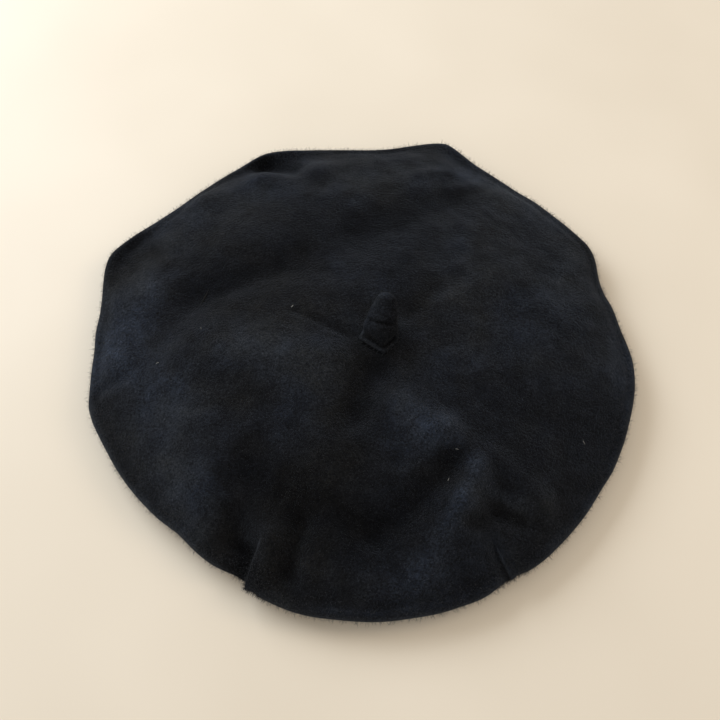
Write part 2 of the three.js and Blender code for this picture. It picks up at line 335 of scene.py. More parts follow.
CORNERS = (  # how the drawn-in edge bulges and dips: direction, reach, half width
    (14, -3.5, 10),
    (28, 5, 9),
    (70, 12, 8),
    (94, -3.5, 14),
    (113, 7, 12),
    (157, 14, 12),
    (194, 4, 9),
    (229, -7, 18),
    (290, 1.5, 30),
    (350, 3, 12),
)
FLANGES = (  # where two layers lie flat together outside the dome: direction, width, half width in degrees
    (157, 19, 12),
    (113, 8, 13),
    (70, 6, 9),
    (196, 3, 12),
)
FOLDS = (  # soft ridges (+) and valleys (-): from, to, half width, height
    ((-59, 122), (-40, 114), 7, -5.5),           # hollow in the back left flange
    ((-90, 92), (-58, 108), 10, 2.4),            # crest that runs round in front of it
    ((-58, 108), (-24, 112), 8, 2.6),
    ((-24, 112), (26, 122), 9, 2.0),
    ((-128, 24), (-92, 92), 12, 3.2),            # shoulder on the left
    ((-122, -28), (-128, 24), 12, 2.2),
    ((48, 112), (34, 108), 4, 1.4),              # short creases at the back corner
    ((66, 103), (50, 98), 3.5, 1.3),
    ((50, 86), (-2, 63), 14, -3.6),              # valley behind the stem
    ((20, 96), (-34, 90), 15, 1.8),
    ((-34, 45), (-86, 24), 12, -3.8),            # valley to the left of the stem
    ((-86, 24), (-104, 2), 12, -1.6),
    ((-84, -8), (-22, -18), 15, 3.4),            # swell in front of it
    ((-34, 12), (-6, -4), 2.4, -1.1),            # fine crease to the foot of the stem
    ((20, 6), (48, 30), 6, -1.8),                # crease from the foot to the right
    ((40, 14), (74, 36), 10, 1.4),
    ((6, -22), (-4, -46), 9, -4.0),              # hollow in front of the stem
    ((18, -42), (40, -56), 9, 3.2),              # ridge that runs down and turns to the right tuck
    ((40, -56), (53, -73), 8, 3.2),
    ((53, -73), (47, -90), 7, 3.0),
    ((47, -90), (28, -120), 9, 3.0),
    ((62, -66), (86, -90), 6, 2.0),
    ((44, -70), (6, -104), 9, -4.4),             # hollow between two ridges
    ((-52, -77), (-6, -97), 14, -4.4),           # basin at the front
    ((-27, -97), (-33, -119), 5.5, -3.2),        # dark valley beside the left lobe
    ((-41, -102), (-43, -120), 6, 1.8),
    ((-57, -96), (-56, -108), 8, -3.4),          # hollow above the left tuck
    ((-80, -52), (-70, -86), 12, 3.2),           # ridge above it
    ((49, -97), (62, -91), 4.6, -1.7),           # curved valley round the right tuck
    ((62, -91), (74, -96), 4.6, -1.5),
    ((-120, -22), (-139, -30), 3.5, -1.6),       # small crease at the left edge
    ((92, -4), (118, 22), 16, 1.6),
    ((96, -56), (70, -30), 18, -1.2),
)
TUCKS = (
    # pinched pleats: inner end, outer end, side of the hollow, its depth, how far the lip laps over it,
    # the hollow's width, how far the edge is drawn in
    ((-45.5, -101.5), (-54.0, -130.0), -1, 5.4, 1.4, 9.0, 4.4),
    ((58.0, -100.5), (74.5, -129.0), -1, 3.4, 1.2, 5.0, 1.6),
)
PAINTED_LIGHT_AND_SHADE = (  # painted light (+) and painted shade (-): from, to, half width, tone
    ((-86, 24), (-34, 45), 9, -0.34),            # valleys left of the stem and behind it
    ((-2, 64), (50, 86), 9, -0.38),
    ((-40, 68), (-12, 74), 13, -0.14),
    ((7, -22), (-3, -44), 9, -0.42),             # in front of the stem
    ((-54, -12), (-22, -26), 17, 0.34),          # swell to its front left
    ((19, -43), (40, -57), 7, 0.28),             # along the turning ridge
    ((40, -57), (52, -73), 6, 0.28),
    ((52, -73), (47, -88), 6, 0.26),
    ((47, -88), (28, -122), 8, 0.26),
    ((24, -54), (28, -68), 12, 0.16),
    ((4, -106), (45, -68), 8, -0.36),            # hollows at the front
    ((-52, -78), (-6, -98), 14, -0.40),
    ((-56, -99), (-54, -112), 8, -0.50),
    ((-27, -97), (-33, -118), 5, -0.34),
    ((49, -97), (62, -91), 4, -0.28),
    ((62, -91), (74, -96), 4, -0.26),
    ((0, -120), (60, -116), 12, 0.10),
    ((61, -83), (77, -91), 3.5, 0.26),
    ((84, -52), (102, -62), 30, -0.06),          # the right lies plain and a little dark
    ((84, 66), (98, 52), 10, -0.20),
    ((50, 10), (56, 42), 20, 0.14),
    ((-114, 34), (-131, -8), 13, 0.40),          # shoulders that face the light
    ((-100, 66), (-60, 96), 13, 0.22),
    ((-110, -18), (-74, -86), 22, 0.28),
    ((2, 106), (34, 104), 8, 0.12),
    ((62, 113), (122, 78), 8, 0.42),
    ((128, -24), (134, 0), 8, 0.24),
    ((40, -20), (74, -10), 22, 0.12),
    ((84, 20), (112, 48), 10, 0.14),
    ((-140, 50), (-125, 70), 6, -0.34),          # flange hollows
    ((-58, 122), (-42, 118), 6, -0.40),
)
OUTLINE_R = 138.0               # the outline before its corners
EDGE_WAVE = 0.5                 # small unevenness of the outline
EDGE_WAVE_SIZE = 30
DOME_POWER = 3.0                # how flat the top stays before it falls to the edge
HOLE_R = 4.4                    # the hole in the crown that the stem's neck passes through
SWELLS = ((0.7, 44, SEED + 1),)                                     # amount, size and seed
DIMPLES = ((0.28, 16, SEED + 2), (0.12, 7, SEED + 4))
MOTTLE = ((0.06, 40, SEED + 5), (0.06, 14, SEED + 6))
FOLD_PAINTED_SHADING = 0.02                # tone that a millimetre of fold adds: painted light on ridges, painted shade in hollows
RIM_PAINTED_HIGHLIGHT = 0.22                 # painted highlight along the edge
RIM_WIDTH = 7
GATHER_HEIGHT = 1.1             # of the puckers where the felt starts to lie on the table
GATHER_HEIGHT_AT_BAND = 0.25
LIP_RISE = 0.9                  # of a tuck's lip
LIP_DRAW = 0.8
COLUMNS = 512
CROWN_ROWS = 84
FOLD_ROWS = 9
UNDER_ROWS = 20
RIM_ROWS = 7


def outline_radius(direction):
    radius = np.full(np.shape(direction), OUTLINE_R)
    for at, reach, wide in CORNERS:
        radius = radius + reach * bell(turned(direction, at), wide, 1.5)
    angle = np.radians(direction)
    x, y = OUTLINE_R * np.cos(angle), OUTLINE_R * np.sin(angle)
    return radius + EDGE_WAVE * smooth_noise(x, y, EDGE_WAVE_SIZE, SEED)


def flange_width(direction):
    width = np.zeros(np.shape(direction))
    for at, reach, wide in FLANGES:
        width = width + reach * bell(turned(direction, at), wide)
    return width


def column_directions():
    """Directions of the mesh's columns, closer together at the tucks."""
    fine = np.linspace(0, 360, 7201)
    density = np.ones_like(fine)
    for _, outer, *_ in TUCKS:
        at = math.degrees(math.atan2(outer[1], outer[0])) % 360
        density = density + 5.0 * bell(turned(fine, at), 3.2, 4)
    travelled = np.concatenate([[0], np.cumsum(0.5 * (density[1:] + density[:-1]))])
    share = np.arange(COLUMNS) / COLUMNS * travelled[-1]
    return np.interp(share, travelled, fine)


def strokes(table, x, y):
    """The sum of a table of soft strokes over the plan: from, to, half width and amount."""
    total = np.zeros(np.shape(x))
    for (x0, y0), (x1, y1), wide, amount in table:
        dx, dy = x1 - x0, y1 - y0
        t = np.clip(((x - x0) * dx + (y - y0) * dy) / (dx * dx + dy * dy), 0, 1)
        total = total + amount * bell(np.hypot(x - x0 - t * dx, y - y0 - t * dy), wide)
    return total


def fold_start(direction):
    """Angle above level where the crown meets the folded edge: its slope there is the dome's own."""
    return np.radians(mix(70.0, 86.0, smooth(flange_width(direction) / 8)))


def crown_height(direction, r, edge_r):
    """Height of the crown's outer face before its folds: a flat dome, with a flange outside it in places."""
    flange = flange_width(direction)
    flatness = smooth(flange / 8)
    foot_z = EDGE_Z + FOLD_R * np.sin(fold_start(direction))
    dome_r = edge_r - flange - FOLD_R * (1 - np.cos(fold_start(direction)))
    rise = (CROWN_Z - foot_z) * (1 - (r / dome_r) ** DOME_POWER)
    # outside the dome the rise fades softly to nothing
    softness = 0.2 + 2.4 * flatness
    sunk = 0.5 * softness * smooth((r / dome_r - 0.9) / 0.1)
    return foot_z + 0.5 * (rise + np.sqrt(rise ** 2 + softness ** 2)) - sunk


def painted_light_and_mottle(x, y):
    """Painted light and shade over the plan, with a little random mottle: 0.5 is plain, ridges and lit
    patches are painted paler, hollows painted darker.
    """
    tone = 0.5 + FOLD_PAINTED_SHADING * strokes(FOLDS, x, y) + strokes(PAINTED_LIGHT_AND_SHADE, x, y)
    inside = outline_radius(np.degrees(np.arctan2(y, x)) % 360) - np.hypot(x, y)
    # painted highlight along the edge
    tone = tone + RIM_PAINTED_HIGHLIGHT * (1 - smooth(inside / RIM_WIDTH))
    return np.clip(tone + smooth_noises(x, y, MOTTLE), 0.0, 1.0)


def add_painted_light(piece, tones):
    piece.data.attributes.new("painted_light_and_mottle", "FLOAT", "POINT").data.foreach_set("value", tones)


def crown_grid(directions):
    """Rows of the outer face, from the stem's hole over the crown and the fold to the head opening."""
    edge_r = outline_radius(directions)
    angle = np.radians(directions)
    rows = []

    def plan(r, towards_stem):
        return r * np.cos(angle) + STEM_X * towards_stem, r * np.sin(angle) + STEM_Y * towards_stem

    def add_row(r, z, towards_stem=0.0):
        x, y = plan(r, towards_stem)
        rows.append(np.stack([x, y, z + 0 * x], axis=-1))

    start = fold_start(directions)
    end_r = edge_r - FOLD_R + FOLD_R * np.cos(start)
    end_z = EDGE_Z + FOLD_R * np.sin(start)
    for k in range(CROWN_ROWS):
        # the rows are closer together near the edge
        share = k / CROWN_ROWS
        u = mix(share, 1 - (1 - share) ** 1.6, 0.6)
        r = mix(HOLE_R, end_r, u)
        towards_stem = 1 - smooth(r / edge_r)
        x, y = plan(r, towards_stem)
        near_edge = smooth((edge_r - r) / 10)
        clear_of_stem = smooth((r - 7) / 14)
        relief = (strokes(FOLDS, x, y) + smooth_noises(x, y, SWELLS)) * near_edge * clear_of_stem
        relief = relief + smooth_noises(x, y, DIMPLES) * near_edge
        settle = smooth((u - 0.96) / 0.04)
        add_row(r, mix(crown_height(directions, r, edge_r), end_z, settle) + relief, towards_stem)
    for k in range(FOLD_ROWS):
        turn = mix(start, math.radians(-90), k / (FOLD_ROWS - 1))
        add_row(edge_r - FOLD_R + FOLD_R * np.cos(turn), EDGE_Z + FOLD_R * np.sin(turn))
    gathers = gather_waves(directions)
    for k in range(1, UNDER_ROWS + 1):
        v = 1 - k / UNDER_ROWS
        r = mix(REST_R, edge_r - FOLD_R, v)
        lift = gathers * GATHER_HEIGHT * (1 - smooth(v * 1.5))
        add_row(r, (EDGE_Z - FOLD_R) * v ** 1.5 + lift)
    for k in range(1, RIM_ROWS + 1):
        r = mix(REST_R, OPENING_R, k / RIM_ROWS)
        add_row(r, gathers * mix(GATHER_HEIGHT, GATHER_HEIGHT_AT_BAND, k / RIM_ROWS))
    return np.array(rows)


def gather_waves(direction):
    """0 to 1: the small puckers round the drawn-in opening."""
    chance = np.random.default_rng(SEED + 3)
    total = np.zeros(np.shape(direction))
    at = 0.0
    while at < 360:
        height = chance.uniform(0.35, 1.0)
        width = chance.uniform(1.4, 2.4)
        total = np.maximum(total, height * bell(turned(direction, at), width))
        at += chance.uniform(4.5, 9.0)
    return total


def pinch(points):
    """Presses the tucks into the edge: a rounded lip on one side and a soft hollow on the other.

    s runs along a tuck from 0 to 1, and d is the distance across it, above 0 on the hollow's side.
    """
    for (x0, y0), (x1, y1), side, depth, overlap, wide, draw in TUCKS:
        along = np.array([x1 - x0, y1 - y0])
        length = np.hypot(*along)
        along = along / length
        across = np.array([-along[1], along[0]])
        if across[0] * side < 0:
            across = -across
        x, y = points[..., 0] - x0, points[..., 1] - y0
        s = (x * along[0] + y * along[1]) / length
        d = x * across[0] + y * across[1]
        z = points[..., 2]
        deepening = smooth(s / 0.45)
        upper = smooth((z - (EDGE_Z - 3)) / 5)
        off_table = smooth((z - 0.8) / 4)
        past_lip = smooth((d + 0.9) / 1.8)
        in_hollow = past_lip * bell(np.maximum(d, 0), wide)
        on_lip = bell(d + 3.2, 3.0)
        shift = overlap * deepening * bell(d + 0.8, 2.0) * off_table
        drawn_in = draw * past_lip * bell(np.maximum(d - 6, 0), 11)
        pull = -deepening * off_table * (LIP_DRAW * on_lip + drawn_in)
        points[..., 2] += upper * deepening * (LIP_RISE * on_lip - depth * in_hollow)
        points[..., 0] += across[0] * shift + along[0] * pull
        points[..., 1] += across[1] * shift + along[1] * pull
    return points


def grid_normals(points):
    """Unit normals of a grid of points whose columns close on themselves."""
    round_columns = np.roll(points, -1, axis=1) - np.roll(points, 1, axis=1)
    normals = np.cross(round_columns, np.gradient(points, axis=0))
    return normals / np.maximum(np.linalg.norm(normals, axis=-1, keepdims=True), 1e-9)


def felt_shell():
    directions = column_directions()
    outer = pinch(crown_grid(directions))
    normals = grid_normals(outer)
    top_row = 20
    if normals[top_row, 0, 2] < 0:
        normals = -normals
    # the inner face is drawn with a third of the rows
    inner = (outer - FELT * normals)[::-1]
    rows = np.concatenate([outer, inner[::3], inner[-1:]])
    faces = grid_faces(len(rows), len(directions), rows_join=True)
    piece = new_mesh("felt_shell_felt", rows.reshape(-1, 3), faces, FELT_LOOK)
    # painted light and shade, with random mottle, for the shell's colour
    add_painted_light(piece, painted_light_and_mottle(rows[..., 0], rows[..., 1]).reshape(-1))
    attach(piece, "beret")
    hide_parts("felt_shell")
    return outer, normals


SHELL_OUTER, SHELL_NORMALS = felt_shell()


# -------------------- stem

STEM_TOWARD = 76.0              # direction that the stem leans in, degrees from +X
STEM_LEAN = 36.4                # degrees from upright
STEM_PROFILE = (                # distance along the stem from the crown, half width
    (3.0, 8.6), (4.6, 8.8), (6.5, 8.7), (8.5, 8.4), (10.5, 8.1), (12.2, 7.5), (13.6, 7.6), (15.2, 7.2),
    (17.2, 6.5), (19.2, 5.7), (21.2, 5.1), (23.0, 4.7), (24.4, 4.1), (25.4, 3.2), (26.0, 2.1), (26.2, 1.4),
)
STEM_TIP = 26.5
STEM_FLAT = 0.84                # depth over width: the finger is pressed a little flat
STEM_COLUMNS = 72
STEM_TURN = 2 * math.pi * np.arange(STEM_COLUMNS) / STEM_COLUMNS    # 0 is its left side, a quarter its back
STEM_DEGREES = np.degrees(STEM_TURN)
STEM_TAIL = (                   # the tail spread under the crown: radius, height above the felt's inner face
    (0.4, -1.75), (3.0, -1.8), (6.0, -1.7), (7.6, -1.5), (8.2, -0.9), (7.7, -0.35), (6.0, -0.15), (4.3, -0.1),
)
NECK_R = 4.1
HEM_R = 9.2
HEM_CORNERS = ((337, 1.6, 15), (245, 0.9, 14))      # turn, reach, half width
HEM_SIDES = ((289, 7.2), (212, 8.4))                # straight sides: the turn that each faces, its distance
HEM_SHARPNESS = 2.4
HEM_ROLL = 1.35                 # radius of the rolled hem
FINGER_LOW, FINGER_HIGH = 3.2, 26.2
FINGER_RINGS = 36
CREASE_AT = 12.2                # the crease over the front of the finger
# stem tones: painted shade under the hem, and plain
PAINTED_SHADE_TONE, PLAIN_TONE = 0.1, 0.5


def stem_axis(s):
    """Centre and lean of the stem at distances s from the crown: upright in the foot, then bent back."""
    steps = np.linspace(0, 30, 601)
    lean = np.radians(STEM_LEAN * smooth((steps - 0.5) / 9))
    out = np.concatenate([[0], np.cumsum(0.5 * (np.sin(lean[1:]) + np.sin(lean[:-1])) * np.diff(steps))])
    up = np.concatenate([[0], np.cumsum(0.5 * (np.cos(lean[1:]) + np.cos(lean[:-1])) * np.diff(steps))])
    return np.interp(s, steps, out), np.interp(s, steps, up), np.interp(s, steps, lean)


def hem_radius(turn):
    """Outer radius of the hem round the foot: felt folded into corners with straight sides between them."""
    reaches = [HEM_R + sum(reach * bell(turned(turn, at), wide) for at, reach, wide in HEM_CORNERS)]
    for at, distance in HEM_SIDES:
        reaches.append(distance / np.maximum(np.cos(np.radians(turned(turn, at))), 0.3))
    # the least of the three, rounded where they cross
    return -np.log(sum(np.exp(-HEM_SHARPNESS * reach) for reach in reaches)) / HEM_SHARPNESS


def stem_ring(s, half_width, shape=1.0, lift=0.0):
    """One ring of the stem, square to its bent axis: shape scales its radius and lift raises it."""
    out, up, lean = stem_axis(s)
    toward = math.radians(STEM_TOWARD)
    back = np.array([math.cos(toward), math.sin(toward), 0.0])
    side = np.array([-back[1], back[0], 0.0])
    depth = back * math.cos(lean) - np.array([0, 0, math.sin(lean)])
    flat = mix(1.0, STEM_FLAT, float(smooth((s - 2) / 8)))
    centre = np.array([STEM_X, STEM_Y, CROWN_Z + up]) + back * out
    across = np.cos(STEM_TURN)[:, None] * side + flat * np.sin(STEM_TURN)[:, None] * depth
    radius = half_width * shape * np.ones(STEM_COLUMNS)
    ring = centre + radius[:, None] * across
    ring[:, 2] += lift
    return ring


def hem_lift():
    """The hem stands up a little at its left front corner."""
    return 1.1 * bell(turned(STEM_DEGREES, 330), 55) - 0.2


def side_painted_light():
    """Painted light on the left of the finger and painted shade on its right."""
    return 0.56 + 0.20 * np.cos(np.radians(STEM_DEGREES - 325))


def tail_rings():
    """The tail, sewn flat under the crown, and the neck through its hole. Each ring comes with its tone: the
    neck is painted dark, as shade under the hem.
    """
    for r, z in STEM_TAIL:
        ragged = 1 + 0.05 * np.sin(5 * STEM_TURN + 1) * (r > 5)
        yield stem_ring(0, r, ragged, z - FELT), PLAIN_TONE
    for z in (-1.0, 0.0):
        yield stem_ring(0, NECK_R, lift=z), PAINTED_SHADE_TONE


def hem_rings():
    """The foot's rolled hem, from where it tucks in under itself round to its top."""
    hem = hem_radius(STEM_DEGREES)
    tucked_in = NECK_R + 0.6 * np.maximum(hem - HEM_ROLL - NECK_R, 0.05)
    # the ring tucked in under the roll is painted dark, as shade
    yield stem_ring(0, tucked_in, lift=0.25), PAINTED_SHADE_TONE
    for angle in (-70, -35, 0, 30, 60, 90, 120, 150):
        z = 1.5 + 1.25 * math.sin(math.radians(angle))
        lift = z + hem_lift() * smooth((z + 0.2) / 1.5)
        # painted highlight on the roll's top, painted shade under it and in the groove on its inner side
        painted_highlight = bell(angle - 50, 45)
        painted_shade = 0.15 * smooth((angle - 110) / 40) + 0.2 * smooth(-angle / 40)
        rolled = hem - HEM_ROLL + HEM_ROLL * math.cos(math.radians(angle))
        yield stem_ring(0, rolled, lift=lift), side_painted_light() + 0.20 * painted_highlight - painted_shade


def lapped_edge(at, rise, fade):
    """An edge of lapped felt that runs up the finger: its step at a turn, and the painted shade beside it."""
    past = turned(STEM_DEGREES, at)
    return rise * smooth(past / 7) * smooth((70 - past) / fade), 0.12 * bell(past, 9)


def finger_rings():
    """The finger, which leaves the hem's shape behind as it rises."""
    hem = hem_radius(STEM_DEGREES)
    in_front = bell(turned(STEM_DEGREES, 262), 62)
    foot_r = STEM_PROFILE[0][1]
    for s in np.linspace(FINGER_LOW, FINGER_HIGH, FINGER_RINGS):
        half = np.interp(s, *zip(*STEM_PROFILE))
        shape = 1 + 0.03 * np.sin(2 * STEM_TURN + 0.4 * s) + 0.02 * np.sin(3 * STEM_TURN - 0.3 * s)
        past_crease = s - CREASE_AT - 0.9 * np.cos(STEM_TURN - 4.2)
        crease = -0.13 * bell(past_crease, 0.75) + 0.05 * bell(past_crease + 2.6, 1.9)
        crease = crease + 0.05 * bell(past_crease - 1.5, 1.1)
        right_step, right_painted_shade = lapped_edge(205 - 1.2 * s, 0.045, 60)
        left_step, left_painted_shade = lapped_edge(316, 0.06, 55)
        left_end = smooth((17 - s) / 6)
        shape = shape + in_front * crease + right_step * smooth((s - 3) / 3) + left_step * left_end
        rising = float(smooth((s - FINGER_LOW) / 6.0))
        shape = mix((hem - 2 * HEM_ROLL) / foot_r, shape, rising)
        # painted shade in the crease, where the finger leaves the hem and beside the lapped edges; painted
        # light on the left, painted shade on the right; a painted highlight at the tip
        tone = side_painted_light() - 0.24 * in_front * bell(past_crease, 0.9) - 0.18 * bell(s - FINGER_LOW, 1.2)
        tone = tone - right_painted_shade - left_painted_shade * left_end + 0.35 * smooth((s - 23.5) / 2.5)
        yield stem_ring(s, half, shape, (1 - rising) * hem_lift() * 0.8), tone


def stem_rows():
    """The whole stem as one skin, and its painted light and shade."""
    rows, tones = [], []
    for ring, tone in (*tail_rings(), *hem_rings(), *finger_rings()):
        rows.append(ring)
        tones.append(tone + np.zeros(STEM_COLUMNS))
    return np.array(rows), np.clip(tones, 0.0, 1.0)


def capped_grid(rows):
    """Points and faces of rows closed by a point at each end."""
    count = rows.shape[1]
    points = rows.reshape(-1, 3)
    first = rows[0].mean(axis=0)
    last = rows[-1].mean(axis=0)
    points = np.concatenate([points, [first, last]])
    faces = grid_faces(len(rows), count)
    low, high = len(points) - 2, len(points) - 1
    for i in range(count):
        j = (i + 1) % count
        faces.append((i, j, low))
        faces.append(((len(rows) - 1) * count + j, (len(rows) - 1) * count + i, high))
    return points, faces


def outward(piece):
    """Turns a closed piece's faces to point out."""
    bpy.context.view_layer.objects.active = piece
    piece.select_set(True)
    bpy.ops.object.mode_set(mode="EDIT")
    bpy.ops.mesh.select_all(action="SELECT")
    bpy.ops.mesh.normals_make_consistent(inside=False)
    bpy.ops.object.mode_set(mode="OBJECT")
    piece.select_set(False)
    return piece


def blend_stem(piece):
    """Bakes the piece's placement into its mesh."""
    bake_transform(piece)


def stem():
    rows, tones = stem_rows()
    tip = stem_ring(STEM_TIP, 0.35)
    rows = np.concatenate([rows, tip[None]])
    points, faces = capped_grid(rows)
    piece = outward(new_mesh("stem_felt", points, faces, STEM_LOOK))
    # the stem's painted light and shade go into its colour
    # the tip's ring and the two end points take the tones of the rings beside them
    add_painted_light(piece, np.concatenate([tones.reshape(-1), tones[-1], tones[0, :1], tones[-1, :1]]))
    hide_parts("stem", "stem_foot")
    return piece, rows


STEM, STEM_ROWS = stem()


# -------------------- threads

THREAD_LOOK = fibre_material("sewing_thread", (0.014, 0.016, 0.019), 0.55)


def stitched(name, node, stitches, radius):
    """Short stitches: each is a path that dips at both ends. They are one piece that stays with the hat."""
    sides = 7
    thread_twist = 0.55
    points, faces = [], []
    for path in stitches:
        along = np.linspace(0, 1, len(path))
        radii = radius * (0.55 + 0.45 * np.sin(math.pi * along) ** 0.5)
        rings = tube_points(path, radii, sides, thread_twist)
        some, its_faces = capped_grid(rings)
        offset = sum(len(p) for p in points)
        points.append(some)
        faces += [tuple(i + offset for i in face) for face in its_faces]
    piece = outward(new_mesh(name, np.concatenate(points), faces, THREAD_LOOK))
    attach(piece, "beret")
    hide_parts(node)


def arc_path(start, end, bulge):
    """A path from start to end that bulges out by the vector bulge in the middle."""
    t = np.linspace(0, 1, 9)[:, None]
    straight = mix(np.asarray(start, float), np.asarray(end, float), t)
    return straight + np.sin(math.pi * t) * np.asarray(bulge, float)


def polar_mm(r, direction, z):
    angle = math.radians(direction)
    return np.array([r * math.cos(angle), r * math.sin(angle), z])


def stem_stitches():
    """Slanting stitches that hold the hem down, tucked under its roll."""
    stitches = []
    count = 22
    slant = 3                   # degrees to each side
    centre = np.array([STEM_X, STEM_Y, CROWN_Z])
    for k in range(count):
        direction = 360 * k / count
        hem = float(hem_radius(np.array(STEM_TOWARD + 90 - direction)))
        high = centre + polar_mm(hem - 0.5, direction + slant, 0.8)
        low = centre + polar_mm(hem + 0.25, direction - slant, -0.1)
        out = polar_mm(0.15, direction, 0.15)
        stitches.append(arc_path(high, low, out))
    stitched("stem_hem_stitches", "stem_stitches", stitches, 0.24)


stem_stitches()


# -------------------- sweatband

RIBBON = 0.8                    # thickness
RIBBON_LAP = 8.0                # degrees by which the ends overlap
RIBBON_STEP = 14.0              # degrees over which the upper end steps in to lie on the lower one
RIBBON_GAP = 0.35               # between the lapped ends
JOIN_AT = 118.0                 # direction of the lap
RIB_PITCH = 1.05                # grosgrain ribs, millimetres
RIB_HEIGHT = 0.11
BAND_Z = (BAND_LOW[2], BAND_HIGH[2])


def ribbon_material():
    material, tree, principled = shader("grosgrain_ribbon", 0.62)
    plain = coordinates(tree)
    shade = ramp(tree, noise(tree, plain, 18, 3), [
        (0.35, (0.0048, 0.0050, 0.0056)),
        (0.7, (0.0090, 0.0092, 0.0102)),
    ])
    tree.links.new(shade, principled.inputs["Base Color"])
    principled.inputs["Sheen Weight"].default_value = 0.25
    principled.inputs["Sheen Roughness"].default_value = 0.35
    threads = noise(tree, coordinates(tree, (1, 1, 0.2)), 0.35, 3, 0.6)
    bump(tree, principled, [(threads, 0.08, 0.8)])
    return material


def ribbon_radius(travelled):
    """Radius of the ribbon's outer face at degrees travelled from its first end."""
    inwards = (RIBBON + RIBBON_GAP) * smooth((travelled - 360 + RIBBON_STEP) / RIBBON_STEP)
    return BAND_R - inwards


def ribbon_ease(direction):
    """How far the drawn-in ribbon stands in from its widest circle, at its upper edge."""
    return 0.55 + 0.45 * np.sin(np.radians(direction) * 23 + 0.8 * np.sin(np.radians(direction) * 5))


def ribbon():
    turn = 360 + RIBBON_LAP
    length = math.radians(turn) * BAND_R
    columns = int(length / RIB_PITCH * 4)
    travelled = np.linspace(0, turn, columns)
    direction = JOIN_AT - RIBBON_LAP / 2 + travelled
    rib = RIB_HEIGHT * np.sin(2 * math.pi * travelled / turn * length / RIB_PITCH)
    r = ribbon_radius(travelled)
    low, high = BAND_Z
    heights = np.array([0.0, 0.04, 0.3, 0.6, 0.93, 1.0])
    rows = []
    angle = np.radians(direction)
    picot = 0.12 * rib / RIB_HEIGHT     # the ribs end in small loops at the ribbon's edges
    for face in (1, -1):
        for share in heights[::face]:
            z = mix(low, high, share) + picot * {0.0: -1, 1.0: 1}.get(share, 0)
            thinned = 0.25 if share in (0.0, 1.0) else 1.0
            middle = r - RIBBON / 2 - ribbon_ease(direction) * 0.5 * share ** 1.5
            radius = middle + face * thinned * (RIBBON / 2 - RIB_HEIGHT) + face * rib * thinned
            rows.append(np.stack([radius * np.cos(angle), radius * np.sin(angle), z + 0 * angle], axis=-1))
    rings = np.array(rows).transpose(1, 0, 2)
    points, faces = capped_grid(rings)
    piece = outward(new_mesh("sweatband_ribbon", points, faces, ribbon_material()))
    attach(piece, "beret")
    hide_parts("sweatband")


def seam_radius(direction):
    """Radius of the ribbon's inner face, which steps in over the lap."""
    after_join = (direction - JOIN_AT) % 360
    leaving = 1 - smooth((after_join - RIBBON_LAP / 2) / 2)
    arriving = smooth((after_join - 360 + RIBBON_LAP / 2 + RIBBON_STEP) / RIBBON_STEP)
    return BAND_R - RIBBON - (RIBBON + RIBBON_GAP) * max(float(leaving), float(arriving))


def band_seam():
    """Whip stitches along the ribbon's lower edge, and the row that they make in the felt beside it."""
    stitches = []
    count = 150
    for k in range(count):
        direction = 360 * k / count
        inner = seam_radius(direction)
        up = polar_mm(inner + 0.05, direction + 0.7, 3.0)
        down = polar_mm(inner + 0.05, direction - 0.7, 0.75)
        stitches.append(arc_path(up, down, polar_mm(-0.38, direction, 0)))
    stitched("band_whip_stitches", "band_seam", stitches, 0.22)


def join_stitches():
    """Two bars of close stitches through the lapped ends."""
    stitches = []
    low, high = BAND_Z
    inner = BAND_R - 2 * RIBBON - RIBBON_GAP
    rows = 12
    for side in (-2.0, 2.0):
        for k in range(rows):
            z = mix(low + 3.5, high - 1.2, k / (rows - 1))
            r = inner - 0.35 * (z - low) / (high - low)
            start = polar_mm(r, JOIN_AT + side - 0.6, z)
            end = polar_mm(r, JOIN_AT + side + 0.6, z + 0.25)
            stitches.append(arc_path(start, end, polar_mm(-0.32, JOIN_AT + side, 0)))
    stitched("band_join_bars", "band_join_stitches", stitches, 0.2)


ribbon()
band_seam()
join_stitches()


# -------------------- elastic behind the ribbon

def elastic_material():
    material, tree, principled = shader("knitted_elastic", 0.8)
    plain = coordinates(tree)
    shade = ramp(tree, noise(tree, plain, 1.1, 2), [
        (0.35, (0.006, 0.006, 0.006)),
        (0.7, (0.020, 0.020, 0.021)),
    ])
    tree.links.new(shade, principled.inputs["Base Color"])
    courses = noise(tree, coordinates(tree, (0.15, 0.15, 1)), 0.9, 2)
    bump(tree, principled, [(courses, 0.2, 0.8)])
    return material


def dress_elastic():
    node = frame["nodes"]["band_elastic"]
    node.data.materials.clear()
    node.data.materials.append(elastic_material())


dress_elastic()


# -------------------- label

def label_material():
    material, tree, principled = shader("woven_label", 0.5)
    plain = coordinates(tree)
    shade = ramp(tree, noise(tree, plain, 9, 3), [(0.3, (0.56, 0.53, 0.46)), (0.7, (0.68, 0.65, 0.58))])
    tree.links.new(shade, principled.inputs["Base Color"])
    principled.inputs["Sheen Weight"].default_value = 0.3
    warp = noise(tree, coordinates(tree, (1, 1, 0.12)), 0.22, 2)
    weft = noise(tree, coordinates(tree, (0.12, 1, 1)), 0.28, 2)
    bump(tree, principled, [(maths(tree, "ADD", warp, weft), 0.05, 0.8)])
    return material


